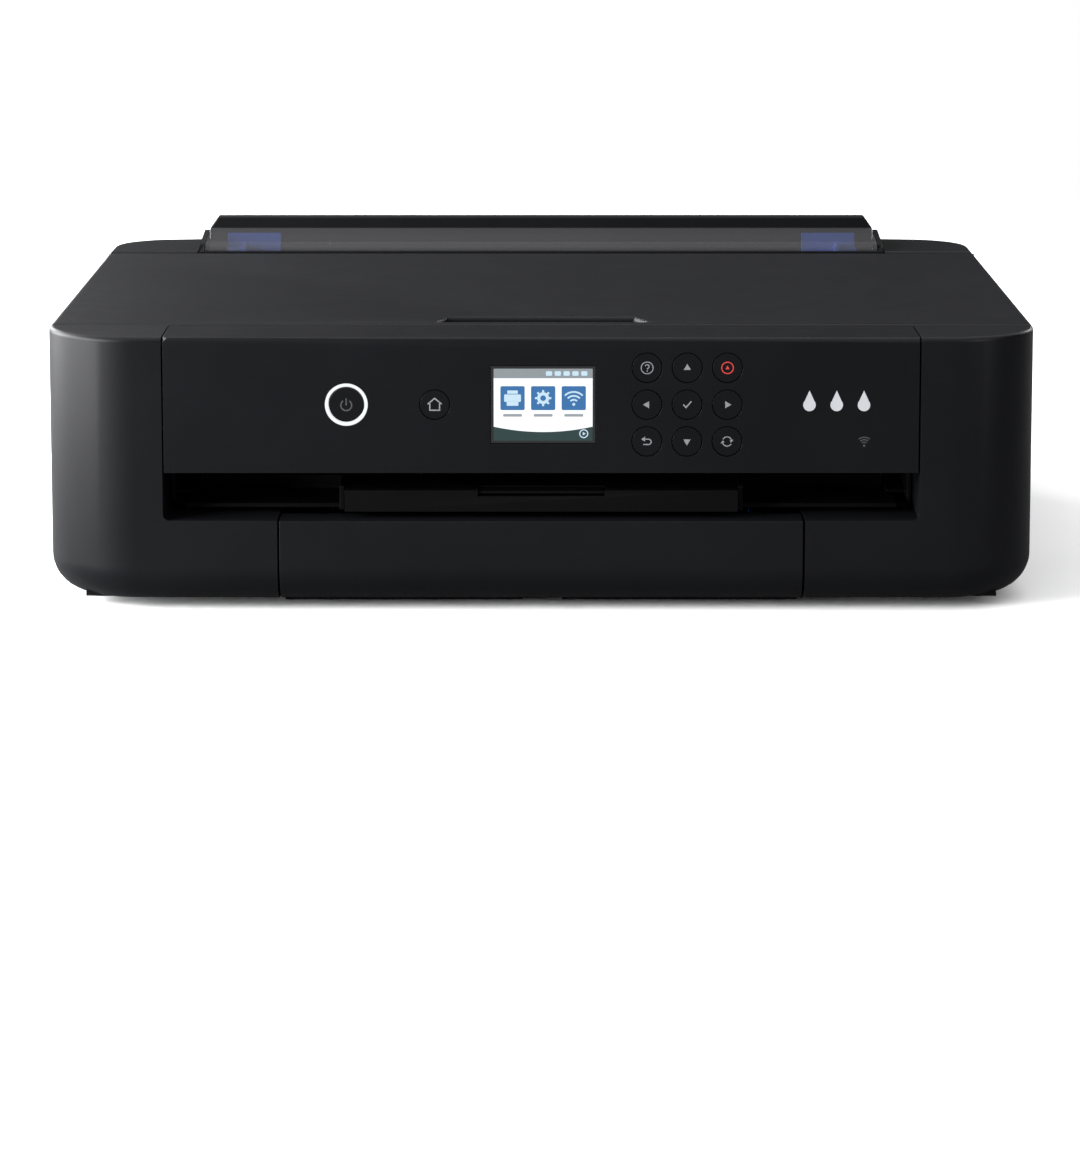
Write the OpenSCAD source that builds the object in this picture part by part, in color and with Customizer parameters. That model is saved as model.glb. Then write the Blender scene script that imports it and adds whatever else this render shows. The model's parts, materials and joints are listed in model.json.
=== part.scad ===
// Wide-format desktop inkjet printer with a front cassette, a motor-driven carriage and a rear sheet feeder.
// Millimetres. X is to the right, Y runs from the front to the back, Z is up.
// The origin is under the middle of the case, on the surface it stands on.

/* [Case] */
// Overall width
body_w = 479; // [470:1:600]
// Overall depth
body_d = 370; // [360:1:460]
// Height of the flat top above the table
case_top = 134; // [132:1:165]
// Height of the feeder's handle above the flat top
handle_h = 14; // [10:1:20]
// Height of the case's underside above the table
foot_h = 4.5; // [4:0.5:8]
// Wall of each moulded shell
wall = 2.5; // [2:0.1:3]
// Plan radius of the front corners
front_corner_r = 45; // [20:1:60]
// Plan radius of the rear corners
rear_corner_r = 32; // [10:1:33]
// Radius of the bottom edge
edge_r = 18; // [8:1:22]
// Gap between neighbouring shells
seam = 0.8; // [0.4:0.1:1]
// Radial clearance of a shaft in its bore
shaft_fit = 0.08; // [0.04:0.01:0.1]
// Foot radius
foot_r = 9; // [6:1:12]
// Distance of the feet from the middle, across
foot_x = 176; // [160:1:200]
// Distance of the feet from the middle, front to back
foot_y = 130; // [120:1:150]

/* [Front opening] */
// Width of the opening that holds the panel and the trays
opening_w = 362.4; // [340:0.4:380]
// Bottom of the opening above the table
opening_z = 45.4; // [45:0.1:52]
// Radius of the opening's lower corners
opening_r = 3; // [1:0.5:5]
// Width of the cassette's bay in the case's front
bay_w = 253; // [250:1:280]

/* [Control panel] */
// Lower edge of the panel above the table
panel_z = 68.6; // [66:0.2:76]
// Depth of the panel's top strip
strip_d = 42.5; // [40:0.5:55]
// Radius of the panel's rear edge, about its hinge
panel_lip_r = 3; // [2.6:0.1:4]
// Radius of the panel's hinge pins
panel_pin_r = 1.8; // [1:0.1:2]
// Width of the screen
screen_w = 50.1; // [40:0.1:56]
// Height of the screen
screen_h = 37.3; // [30:0.1:40]
// Middle of the screen, across
screen_x = 0.95; // [-4:0.05:4]
// Height of the row of controls
controls_z = 101.7; // [96:0.1:106]
// Diameter of a key
key_d = 14; // [10:0.5:15]
// Space between neighbouring keys, across
key_space_x = 5.15; // [4:0.05:7]
// Space between neighbouring keys, up and down
key_space_z = 3.8; // [3:0.1:5]
// Middle of the key block, across
keys_x = 69.65; // [66:0.05:80]
// Home key, across
home_x = -50.8; // [-56:0.1:-46]
// Power key, across
power_x = -93; // [-110:0.1:-80]
// Diameter of the power key
power_d = 16.6; // [14:0.1:17]
// Width of the light ring
ring_t = 1.5; // [1:0.1:1.6]
// Gap around a key
key_gap = 0.4; // [0.3:0.05:0.6]
// Width of the collar that keeps a key in its hole
key_collar = 0.75; // [0.6:0.05:1.2]
// How far a key sinks
key_travel = 0.6; // [0.3:0.1:0.8]

/* [Printer cover] */
// Radius of the cover's rear edge, about its hinge
cover_lip_r = 8; // [7:0.5:10]
// Radius of the cover's hinge pins
cover_pin_r = 2; // [1:0.1:2.4]
// Depth of the cover's skirt at the sides
skirt_h = 5; // [4:0.5:7]
// Width of the finger recess
grip_w = 107; // [80:1:140]
// Front-to-back size of the finger recess
grip_d = 17; // [14:1:22]
// Depth of the finger recess
grip_h = 8; // [6:1:9]
// Distance of the finger recess from the cover's front edge
grip_setback = 7; // [5:1:12]

/* [Output tray] */
// Width of the tray
tray_w = 344; // [320:1:350]
// Tray's underside above the opening's floor
tray_z = 2.6; // [2.4:0.1:4]
// Thickness of the tray's plate
tray_t = 2; // [1.6:0.1:2.4]
// Setback of the tray behind the front
tray_setback = 20; // [18:1:30]
// Length of the tray
tray_l = 135; // [130:1:140]
// Width of the sliding extension
extension_w = 189; // [160:1:200]
// Height of the extension
extension_h = 10.4; // [9:0.1:11]
// Setback of the extension behind the front
extension_setback = 7; // [5:0.5:10]
// Length of the extension
extension_l = 98; // [90:1:100]
// Width of the rails beside the extension
rail_w = 2.2; // [1.6:0.1:3]
// Gap between sliding pieces
slide_gap = 0.5; // [0.4:0.05:0.7]
// Length of the paper stop
stop_l = 8.6; // [7:0.1:8.8]
// Width of the paper stop
stop_w = 60; // [40:1:90]

/* [Cassette] */
// Length of the cassette's pan
pan_l = 283; // [270:1:285]
// Height of the pan's rim above the table
pan_top = 42; // [36:1:42]
// Underside of the cassette above the table
pan_z = 2.5; // [2:0.1:3.5]
// Wall of the pan
pan_t = 2; // [1.6:0.1:2.5]
// Gap between the cassette and its bay
bay_gap = 0.9; // [0.4:0.1:1]
// Depth of the hollow front piece
fascia_d = 20; // [20:1:24]
// Width of the sheet that the side guides hold
cassette_sheet_w = 210; // [180:1:216]

/* [Rear feeder] */
// Depth of the feeder behind the cover
feeder_d = 55.5; // [55:0.5:64]
// Width of the feeder's top opening
feeder_w = 380; // [370:1:384]
// Lean of the paper support from upright, in degrees
lean = 12; // [10:0.5:13]
// Radius of the guard's front edge, about its hinge
guard_lip_r = 4.5; // [4.5:0.1:5]
// Rise of the guard towards the back
guard_rise = 3.5; // [2:0.5:5]
// Wall of the guard
guard_t = 2; // [1.6:0.1:2.2]
// Front-to-back size of the support's handle
handle_d = 11; // [10:0.5:12]
// Width of the sloped corners at the ends of the handle
handle_cut = 4.5; // [2:0.5:6]
// Width of the widest sheet
sheet_w = 329; // [320:1:330]
// Radius of the rear pick-up roller
pickup_r = 14; // [12:0.5:14]
// Length of the lower paper support
support_l = 84; // [78:1:86]
// Pitch radius of the edge guides' pinion
guide_pinion_r = 6; // [6:1:6]

/* [Paper feed] */
// Height of the sheet's path over the platen
path_z = 72; // [72:0.5:74]
// Feed roller behind the middle of the case
feed_y = 38; // [36:1:40]
// Radius of the feed roller
feed_r = 6; // [5:0.5:6]
// Exit roller behind the middle of the case
exit_y = -52; // [-54:1:-51]
// Radius of the exit roller
exit_r = 5; // [4:0.5:5]
// Radius of the pinch rollers
pinch_r = 4; // [3.5:0.5:4]
// Radius of the star wheels
star_r = 5; // [4:0.5:5]
// Gap that the sheet passes through
nip = 0.4; // [0.3:0.1:0.6]
// Teeth of the feed gear
gear_teeth = 56; // [48:2:56]
// Teeth of the feed motor's pinion
pinion_teeth = 14; // [12:2:16]
// Play between meshed teeth
backlash = 0.3; // [0.2:0.05:0.4]

/* [Carriage] */
// Width of the carriage
carriage_w = 84; // [80:1:88]
// Front-to-back size of the carriage's box
carriage_d = 70; // [66:1:70]
// Top of the carriage above the table
carriage_top = 122; // [118:1:123]
// Radius of the guide rod
rod_r = 4; // [3:0.5:4]
// Working radius of the belt's pulleys
pulley_r = 6; // [5:0.5:7]
// Thickness of the belt
belt_t = 1.4; // [1:0.1:1.6]
// Width of the belt
belt_w = 6; // [5:0.5:7]
// Number of ink cartridges
cartridges = 6; // [4:1:6]

/* [Hidden] */
$fn = 48;

over = 1;
half_w = body_w / 2;
front = -body_d / 2;
rear = body_d / 2;
opening_x = opening_w / 2;
bay_x = bay_w / 2;
floor_z = foot_h + wall;

// Control panel
panel_x = opening_x - seam;
strip_y = front + strip_d;
panel_axis_y = strip_y - panel_lip_r;
panel_axis_z = case_top - panel_lip_r;
keys_face = front + 0.2;
board_y = front + 11;
board_t = 1.6;
stem_y = front + 8.7;
key_pitch_x = key_d + key_space_x;
key_pitch_z = key_d + key_space_z;
ring_in = power_d / 2 + key_gap;
ring_out = ring_in + ring_t;
keys_reach = key_pitch_x + key_d / 2 + 4.5;
post_x = [power_x - ring_out - 8.8, power_x + ring_out + 10.8, keys_x - keys_reach, keys_x + keys_reach];

// Printer cover
cover_y = strip_y + seam;
deck_y = rear - feeder_d;
cover_axis_y = deck_y - seam - cover_lip_r;
cover_axis_z = case_top - cover_lip_r;
skirt_z = case_top - skirt_h;

// Rear feeder
feeder_x = feeder_w / 2;
cheek_t = 2.8;
cheek_x = feeder_x - cheek_t;
guard_x = cheek_x - 0.6;
guard_axis_y = deck_y + 4 + guard_lip_r;
handle_y = rear - 1 - handle_d;
handle_top = case_top + handle_h;
support_y = rear - 6;
backing_v = -8;
backing_t = 2;
rack_v = -5.6;
rack_t = 1.6;
support_x = 140;
upper_x = 120;
hopper_u = -48;
hopper_l = 40;
hopper_x = sheet_w / 2 + 1;
pickup_v = backing_v - 5.5 - pickup_r;
pickup_u = -75;
pickup_y = support_y + pickup_v * cos(lean) + pickup_u * sin(lean);
pickup_z = case_top - pickup_v * sin(lean) + pickup_u * cos(lean);
pickup_shaft_r = 3;
rear_panel_x = half_w - rear_corner_r - 1;
rear_cover_x = 118;
rear_cover_z = [62, 118];
waste_x = [134, 198];
waste_y = 95;
waste_z = [9, 39.4];
inlet_x = [-164, -142];
inlet_z = [13, 27];
usb_x = [-188, -176];
usb_z = [13.6, 24.6];
lan_x = [-205, -189];
lan_z = [13.6, 27];
guide_travel = 120;
guide_tab_u = [-35, -12];
guide_u = -23.5;
guide_top_u = 3.5;
rack_module = 1;
pinion_pin_r = 1.9;

// Paper feed
left_plate = -half_w + 26;
right_plate = half_w - 6.5;
plate_t = 1.5;
feed_z = path_z - feed_r;
exit_z = path_z - 0.5 - exit_r;
gear_w = 5;
gear_x = left_plate - plate_t - 0.6;
roller_end = 171;
gear_module = 1;
feed_motor_y = feed_y + gear_module * (gear_teeth + pinion_teeth) / 2 + 0.1;
pinch_y = feed_y + 3;
pinch_z = feed_z + sqrt(pow(feed_r + pinch_r + nip, 2) - pow(pinch_y - feed_y, 2));
star_z = exit_z + exit_r + nip + star_r;
shaft_r = 1.5;
motor_r = 13;
beam_y = [-62, -46];
wall_y = 46;

// Carriage
carriage_x = [right_plate - 1 - carriage_w, right_plate - 1];
carriage_y = [-44, -44 + carriage_d];
carriage_z = path_z + 3;
rod_y0 = 34;
rod_z0 = 88;
pulley_y = 36;
pulley_z = 106;
pulley_x = [left_plate + 11, right_plate - 11.5];
belt_in = pulley_r + 0.3;
head_x = (carriage_x[0] + carriage_x[1]) / 2;

// Output tray
tray_bottom = opening_z + tray_z;
tray_top = tray_bottom + tray_t;
tray_y = front + tray_setback;
extension_x = extension_w / 2;
extension_y = front + extension_setback;
extension_z = tray_bottom + 0.4;
extension_top = extension_z + extension_h;
stop_axis_y = extension_y + 2.2;
stop_axis_z = extension_top - 1.3;

// Cassette
pan_x = bay_x - bay_gap - 1.5;
fascia_x = bay_x - bay_gap;
fascia_y = front + fascia_d;
rear_pan_y = fascia_y + pan_l;
guide_h = 33;

module block(x, y, z) {
    translate([x[0], y[0], z[0]]) cube([x[1] - x[0], y[1] - y[0], z[1] - z[0]]);
}

module rod_x(x, y, z, r) {
    translate([x[0], y, z]) rotate([0, 90, 0]) cylinder(h = x[1] - x[0], r = r);
}

module rod_y(x, y, z, r) {
    translate([x, y[1], z]) rotate([90, 0, 0]) cylinder(h = y[1] - y[0], r = r);
}

module rod_z(x, y, z, r) {
    translate([x, y, z[0]]) cylinder(h = z[1] - z[0], r = r);
}

// An outline in Y and Z, carried along X
module along_x(x) {
    translate([x[0], 0, 0]) rotate([90, 0, 90]) linear_extrude(x[1] - x[0]) children();
}

// An outline in X and Z, carried along Y
module along_y(y) {
    translate([0, y[1], 0]) rotate([90, 0, 0]) linear_extrude(y[1] - y[0]) children();
}

module both_sides() {
    children();
    mirror([1, 0, 0]) children();
}

// The feeder's own directions: X across, second axis back from the sheet, third axis up the sheet
module leaning() {
    translate([0, support_y, case_top]) rotate([-lean, 0, 0]) children();
}

// Quarter points of a rounded corner, from one angle to the next
function arc(x, y, r, from) = [for (k = [0:12]) [x + r * cos(from + k * 7.5), y + r * sin(from + k * 7.5)]];

module plan(inset) {
    x = half_w - inset;
    y = rear - inset;
    f = front_corner_r - inset;
    b = rear_corner_r - inset;
    polygon(concat(arc(x - b, y - b, b, 0), arc(b - x, y - b, b, 90), arc(f - x, f - y, f, 180),
        arc(x - f, f - y, f, 270)));
}

// The case's outer form, or the same form with every face moved in
module case_form(inset) {
    e = edge_r - inset;
    f = front_corner_r - inset;
    z0 = foot_h + inset;
    z1 = case_top - inset;
    x = half_w - inset;
    y = front + inset;
    // Rear half, with its bottom edge rounded at the sides
    intersection() {
        translate([0, 0, z0]) linear_extrude(z1 - z0) plan(inset);
        along_y([0, rear])
            polygon(concat([[x, z1], [-x, z1]], arc(e - x, z0 + e, e, 180), arc(x - e, z0 + e, e, 270)));
    }
    // Front half, with its bottom edge rounded all the way round both corners
    along_y([y + f, 0])
        polygon(concat([[x, z1], [-x, z1]], arc(e - x, z0 + e, e, 180), arc(x - e, z0 + e, e, 270)));
    along_x([f - x, x - f])
        polygon(concat([[y + f, z1], [y, z1]], arc(y + e, z0 + e, e, 180), [[y + f, z0]]));
    both_sides() translate([x - f, y + f, 0]) rotate([0, 0, -90]) rotate_extrude(angle = 90)
        polygon(concat([[0, z0]], arc(f - e, z0 + e, e, 270), [[f, z1], [0, z1]]));
}

module case_shell() {
    difference() {
        case_form(0);
        case_form(wall);
    }
}

module base_pan() color("#17181a") {
    difference() {
        intersection() {
            translate([0, 0, foot_h]) linear_extrude(wall) plan(wall + seam);
            block([-half_w + edge_r + seam, half_w - edge_r - seam], [front + edge_r + seam, rear - wall - seam],
                [foot_h, floor_z]);
        }
        block([-bay_x, bay_x], [front, rear_pan_y + 8], [foot_h - over, floor_z + over]);
        for (x = [-foot_x, foot_x], y = [-foot_y, foot_y])
            rod_z(x, y, [foot_h - over, floor_z + over], 3);
        leg_places() rod_z(0, 0, [foot_h - over, floor_z + over], 1.6);
        leg_places() rod_z(0, 0, [foot_h - over, foot_h + 1.4], 3.2);
    }
    both_sides() block([bay_x, bay_x + 2], [front + edge_r + 7, rear_pan_y + 10], [floor_z, pan_top - 2]);
    both_sides() block([pan_x + 0.4, bay_x], [front + edge_r + 7, rear_pan_y + 8], [26, 28]);
    block([-bay_x - 2, bay_x + 2], [rear_pan_y + 8, rear_pan_y + 10], [floor_z, pan_top - 2]);
}

// The chassis stands on four legs
module leg_places() {
    for (y = [-65, -5]) {
        translate([left_plate + 4, y, 0]) children();
        translate([half_w - 30.5, y, 0]) children();
    }
}

module side_cover() color("#1d1f21") {
    difference() {
        case_shell();
        block([-half_w - over, bay_x], [front - over, rear + over], [0, case_top + over]);
        front_opening();
        block([0, half_w + over], [cover_y - seam, deck_y], [skirt_z - seam, case_top + over]);
        rod_x([0, half_w + over], cover_axis_y, cover_axis_z, cover_lip_r + seam);
        block([0, feeder_x + seam], [deck_y - over, rear + over], [case_top - wall - over, case_top + over]);
        block([0, rear_panel_x + seam], [rear - wall - over, rear + over], [0, case_top - wall]);
        block([0, half_w - edge_r], [front + edge_r, rear + over], [0, floor_z + 0.2]);
        panel_bearing();
    }
    difference() {
        block([opening_x, opening_x + wall], [front + wall, cover_y - seam], [opening_z - wall, case_top - wall]);
        panel_bearing();
    }
    block([bay_x, opening_x], [front + wall, front + 35], [opening_z - wall, opening_z]);
}

module front_opening() along_y([front - over, strip_y + seam]) hull() {
    translate([0, opening_z]) square([opening_x - opening_r, 1]);
    translate([opening_x - opening_r, opening_z + opening_r]) circle(opening_r);
    translate([0, case_top]) square([opening_x, over]);
}

module panel_bearing() {
    rod_x([opening_x - over, opening_x + wall + over], panel_axis_y, panel_axis_z, panel_pin_r + shaft_fit);
}

module right_side_cover() {
    side_cover();
}

module left_side_cover() {
    mirror([1, 0, 0]) side_cover();
}

module rear_panel() color("#1a1b1d") difference() {
    union() {
        block([-rear_panel_x, rear_panel_x], [rear - wall, rear], [foot_h + 0.5, case_top - wall - seam]);
        block([-feeder_x, feeder_x], [rear - wall, rear], [foot_h + 0.5, case_top]);
    }
    block([-rear_cover_x - seam, rear_cover_x + seam], [rear - wall - over, rear + over],
        [rear_cover_z[0] - seam, rear_cover_z[1] + seam]);
    block([waste_x[0] - seam, waste_x[1] + seam], [rear - wall - over, rear + over],
        [waste_z[0] - seam, waste_z[1] + seam]);
    block([inlet_x[0] - 0.2, inlet_x[1] + 0.2], [rear - wall - over, rear + over],
        [inlet_z[0] - 0.2, inlet_z[1] + 0.2]);
    block([usb_x[0] - 0.2, usb_x[1] + 0.2], [rear - wall - over, rear + over], [usb_z[0] - 0.2, usb_z[1] + 0.2]);
    block([lan_x[0] - 0.2, lan_x[1] + 0.2], [rear - wall - over, rear + over], [lan_z[0] - 0.2, lan_z[1] + 0.2]);
    for (k = [0:7])
        block([-198 + k * 7, -195 + k * 7], [rear - wall - over, rear + over], [36, 50]);
}

module feed_frame() color("#141517") {
    // Deck between the cover and the feeder, with the front wall of the paper slot
    block([-feeder_x, feeder_x], [deck_y, deck_y + 3.5], [case_top - wall, case_top]);
    block([-cheek_x, cheek_x], [deck_y + 1, deck_y + 3.5], [pickup_z + pickup_r + 3, case_top - wall]);
    both_sides() feed_cheek();
    // Floor under the pick-up roller, then the guide to the feed roller
    along_x([-cheek_x, cheek_x]) polygon([[deck_y, 46.5], [deck_y, 48.5], [rear - 25, 44], [rear - 3.2, 42],
        [rear - 3.2, 40], [rear - 25, 42]]);
    along_x([-168, 168]) polygon([[feed_y + 10, 64.5], [feed_y + 10, 66.5], [115, 51], [deck_y, 48.5],
        [deck_y, 46.5], [115, 49]]);
    leaning() {
        difference() {
            block([-cheek_x, cheek_x], [backing_v, backing_v + backing_t], [-44, -4]);
            both_sides() block([sheet_w / 2 - guide_travel - 16, 179], [backing_v - over, backing_v + backing_t + over],
                [guide_tab_u[0] + 1, guide_tab_u[1] + 3]);
        }
        translate([0, rack_v + rack_t, guide_u]) rotate([90, 0, 0])
            cylinder(h = rack_v + rack_t - backing_v - backing_t, r = pinion_pin_r);
        both_sides() {
            block([support_x + slide_gap, support_x + 5], [-3.4, 3.4], [-support_l - 12, -8]);
            block([support_x + 5, cheek_x], [-3.4, -1.4], [-support_l - 12, -46]);
            difference() {
                block([hopper_x + slide_gap, hopper_x + 4], [-10, -3.4], [hopper_u - 4, -44]);
                rod_x([hopper_x, hopper_x + 5], backing_v + 1, hopper_u, shaft_r + shaft_fit);
            }
        }
    }
}

// End wall of the feeder, with the bearings of the guard, the cover and the pick-up roller
module feed_cheek() difference() {
    union() {
        along_x([cheek_x, feeder_x]) polygon([[deck_y, 46.5], [rear - 3.2, 40], [rear - 3.2, case_top - 3],
            [handle_y - seam, case_top - 3], [handle_y - seam, case_top + 7], [guard_axis_y, case_top + 3.5],
            [deck_y + 4, case_top + 1.5], [deck_y + 4, case_top - wall], [deck_y, case_top - wall]]);
        block([cheek_x, feeder_x], [cover_axis_y - 8, deck_y], [cover_axis_z - 26, cover_axis_z - 9]);
        block([cheek_x, feeder_x], [cover_axis_y - 8, cover_axis_y], [cover_axis_z - 26, cover_axis_z]);
        rod_x([cheek_x, feeder_x], cover_axis_y, cover_axis_z, 4.5);
    }
    rod_x([cheek_x - over, feeder_x + over], cover_axis_y, cover_axis_z, cover_pin_r + shaft_fit);
    rod_x([cheek_x - over, feeder_x + over], guard_axis_y, case_top, shaft_r + shaft_fit);
    rod_x([cheek_x - over, feeder_x + over], pickup_y, pickup_z, pickup_shaft_r + shaft_fit);
}

module exit_frame() color("#101113") {
    block([-opening_x + 0.8, opening_x - 0.8], [front + 36, -20], [opening_z, opening_z + 2]);
    both_sides() {
        block([opening_x - 2.8, opening_x - 0.8], [front + 36, -66], [opening_z + 2, path_z - 6]);
        block([tray_w / 2 - 3, opening_x - 2.8], [front + 45, -40], [tray_top + 0.4, tray_top + 2]);
        block([bay_x + 4, bay_x + 6], [front + 36, -40], [floor_z, opening_z]);
    }
}

module feet() color("#0e0e0e") for (x = [-foot_x, foot_x], y = [-foot_y, foot_y]) {
    rod_z(x, y, [0, foot_h], foot_r);
    rod_z(x, y, [foot_h, floor_z], 2.9);
}

module case_screws() color("#b8babd") leg_places() {
    difference() {
        rod_z(0, 0, [foot_h + 0.1, foot_h + 1.4], 3);
        block([-0.5, 0.5], [-2, 2], [foot_h, foot_h + 0.8]);
        block([-2, 2], [-0.5, 0.5], [foot_h, foot_h + 0.8]);
    }
    rod_z(0, 0, [foot_h + 1.4, floor_z + 10], 1.5);
}

module chassis() color("#9a9da1") {
    shelf_z = 48;
    leg_places() difference() {
        block([-4, 4], [-4, 4], [floor_z, shelf_z]);
        rod_z(0, 0, [floor_z - over, floor_z + 12], 1.55);
    }
    // Left end plate, with the bearings of both rollers and of the feed motor
    difference() {
        along_x([left_plate - plate_t, left_plate]) polygon([[-75, shelf_z], [feed_motor_y + 20, shelf_z],
            [feed_motor_y + 20, 88], [wall_y + plate_t, 88], [wall_y + plate_t, 122], [-75, 122]]);
        rod_x([left_plate - 4, left_plate + 4], feed_y, feed_z, 4 + shaft_fit);
        rod_x([left_plate - 4, left_plate + 4], exit_y, exit_z, 3 + shaft_fit);
        rod_x([left_plate - 4, left_plate + 4], feed_motor_y, feed_z, 3);
        rod_x([left_plate - 4, left_plate + 4], rod_y0, rod_z0, rod_r);
    }
    difference() {
        along_x([right_plate, right_plate + plate_t]) polygon([[-75, shelf_z], [wall_y + plate_t, shelf_z],
            [wall_y + plate_t, 122], [-75, 122]]);
        rod_x([right_plate - 4, right_plate + 4], rod_y0, rod_z0, rod_r);
    }
    // Rear wall, with the holes for the belt's two pulleys
    difference() {
        block([left_plate, right_plate], [wall_y, wall_y + plate_t], [76, 122]);
        for (x = pulley_x)
            rod_y(x, [wall_y - over, wall_y + 3], pulley_z, shaft_r + shaft_fit);
    }
    block([left_plate, right_plate], [-18, wall_y], [shelf_z, shelf_z + plate_t]);
    block([right_plate - 50, right_plate], [-75, -18], [shelf_z, shelf_z + plate_t]);
    block([left_plate, left_plate + 20], [-75, -18], [shelf_z, shelf_z + plate_t]);
    // Inner bearing plate at the right
    difference() {
        block([roller_end, roller_end + plate_t], [-18, wall_y], [shelf_z + plate_t, path_z]);
        rod_x([roller_end - 4, roller_end + 4], feed_y, feed_z, 4 + shaft_fit);
    }
    difference() {
        block([roller_end + 12, roller_end + 12 + plate_t], beam_y, [shelf_z + plate_t, 84]);
        rod_x([roller_end, roller_end + 20], exit_y, exit_z, 3 + shaft_fit);
        rod_x([roller_end, roller_end + 20], exit_y, star_z, shaft_r + shaft_fit);
    }
    // Beam over the exit, with the left bearing of the star wheels
    block([left_plate, right_plate], beam_y, [84, 84 + plate_t]);
    difference() {
        block([-roller_end - 3, -roller_end - 1.5], beam_y, [star_z - 3, 84]);
        rod_x([-roller_end - 4, -roller_end], exit_y, star_z, shaft_r + shaft_fit);
    }
    // Arms that hold the pinch rollers
    for (x = [-roller_end - 3, roller_end + 1.5]) difference() {
        block([x, x + plate_t], [pinch_y - 4, wall_y], [pinch_z - 2.4, pinch_z + 4.4]);
        rod_x([x - over, x + 3], pinch_y, pinch_z, shaft_r + shaft_fit);
    }
}

module guide_rod() color("#d5d7da") rod_x([left_plate - plate_t, right_plate + plate_t], rod_y0, rod_z0, rod_r);

module belt_outline(grow) {
    for (x = pulley_x)
        translate([x, pulley_z]) circle(belt_in + grow);
    translate([pulley_x[0], pulley_z - belt_in - grow])
        square([pulley_x[1] - pulley_x[0], 2 * (belt_in + grow)]);
}

module carriage_belt() color("#26211c") along_y([pulley_y, pulley_y + belt_w]) difference() {
    belt_outline(belt_t);
    belt_outline(0);
}

module drive_motors() color("#8d9094") {
    difference() {
        rod_y(pulley_x[1], [wall_y + plate_t, wall_y + 32], pulley_z, motor_r);
        rod_y(pulley_x[1], [wall_y, wall_y + 13], pulley_z, shaft_r + shaft_fit);
    }
    difference() {
        rod_x([left_plate, left_plate + 30], feed_motor_y, feed_z, motor_r);
        rod_x([left_plate - over, left_plate + 9], feed_motor_y, feed_z, shaft_r + shaft_fit);
    }
}

module platen() color("#2a2b2d") {
    block([-168, 168], [exit_y + exit_r + 2, feed_y - feed_r - 2], [60, 62]);
    for (k = [-8:8])
        block([k * 20 - 1, k * 20 + 1], [exit_y + exit_r + 2, feed_y - feed_r - 2], [62, path_z - 0.5]);
    for (x = [-150, -50, 50, 150])
        block([x - 5, x + 5], [-12, 18], [49.5, 60]);
}

module capping_station() color("#b9bcc0") {
    x = roller_end + plate_t + 2;
    block([x, head_x + 38], [-40, 24], [49.5, 58]);
    difference() {
        block([x, head_x + 24], [-36, 16], [58, carriage_z - 2.4]);
        block([x + 2, head_x + 22], [-34, 14], [62, carriage_z]);
    }
    block([head_x - 9, head_x - 8], [-30, 10], [58, carriage_z - 2.4]);
}

module main_board() color("#1f5a38") {
    block([-216, -175], [60, rear - wall - 3.5], [12, 12 + board_t]);
    for (x = [-214, -178], y = [64, rear - 30])
        rod_z(x, y, [floor_z, 12], 2.5);
    socket(usb_x, usb_z);
    socket(lan_x, lan_z);
    block([-206, -186], [90, 110], [12 + board_t, 16]);
    block([-198, -184], [122, 136], [12 + board_t, 15.6]);
    rod_z(-208, 150, [12 + board_t, 26], 4);
}

module socket(x, z) difference() {
    block(x, [rear - 20, rear - 0.3], z);
    block([x[0] + 1.5, x[1] - 1.5], [rear - 14, rear + over], [z[0] + 2, z[1] - 2]);
}

module power_supply() color("#26272a") {
    block([-172, -134], [60, rear - 28], [floor_z, 38]);
}

module ac_inlet() color("#0d0d0e") {
    z = (inlet_z[0] + inlet_z[1]) / 2;
    x = (inlet_x[0] + inlet_x[1]) / 2;
    difference() {
        block(inlet_x, [rear - 28, rear - 0.3], inlet_z);
        along_y([rear - 12, rear + over]) {
            translate([x - 4.3, z]) circle(4.3);
            translate([x + 4.3, z]) circle(4.3);
            translate([x - 4.3, z - 4.3]) square([8.6, 8.6]);
        }
    }
    for (side = [-1, 1])
        rod_y(x + side * 4.3, [rear - 12, rear - 3], z, 1.2);
}

module control_panel() color("#1c1e20") {
    difference() {
        union() {
            block([-panel_x, panel_x], [front, front + wall], [panel_z, case_top]);
            block([-panel_x, panel_x], [front, panel_axis_y], [case_top - wall, case_top]);
            rod_x([-panel_x, panel_x], panel_axis_y, panel_axis_z, panel_lip_r);
            block([-panel_x, panel_x], [front, front + 12], [panel_z, panel_z + wall]);
            both_sides() along_x([panel_x - wall, panel_x]) polygon([[front, panel_z], [front + 16, panel_z],
                [panel_axis_y + 1, panel_axis_z], [panel_axis_y, case_top], [front, case_top]]);
        }
        block([screen_x - screen_w / 2 - 0.2, screen_x + screen_w / 2 + 0.2], [front - over, front + wall + over],
            [controls_z - screen_h / 2 - 0.2, controls_z + screen_h / 2 + 0.2]);
        rod_y(power_x, [front - over, front + wall + over], controls_z, ring_out + 0.1);
        rod_y(home_x, [front - over, front + wall + over], controls_z, key_d / 2 + key_gap);
        for (column = [-1:1], row = [-1:1])
            rod_y(keys_x + column * key_pitch_x, [front - over, front + wall + over],
                controls_z + row * key_pitch_z, key_d / 2 + key_gap);
    }
    both_sides() rod_x([panel_x, panel_x + 2.8], panel_axis_y, panel_axis_z, panel_pin_r);
    for (x = post_x, z = [controls_z - 22, controls_z + 24])
        rod_y(x, [front + wall, board_y], z, 2.2);
}

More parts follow.
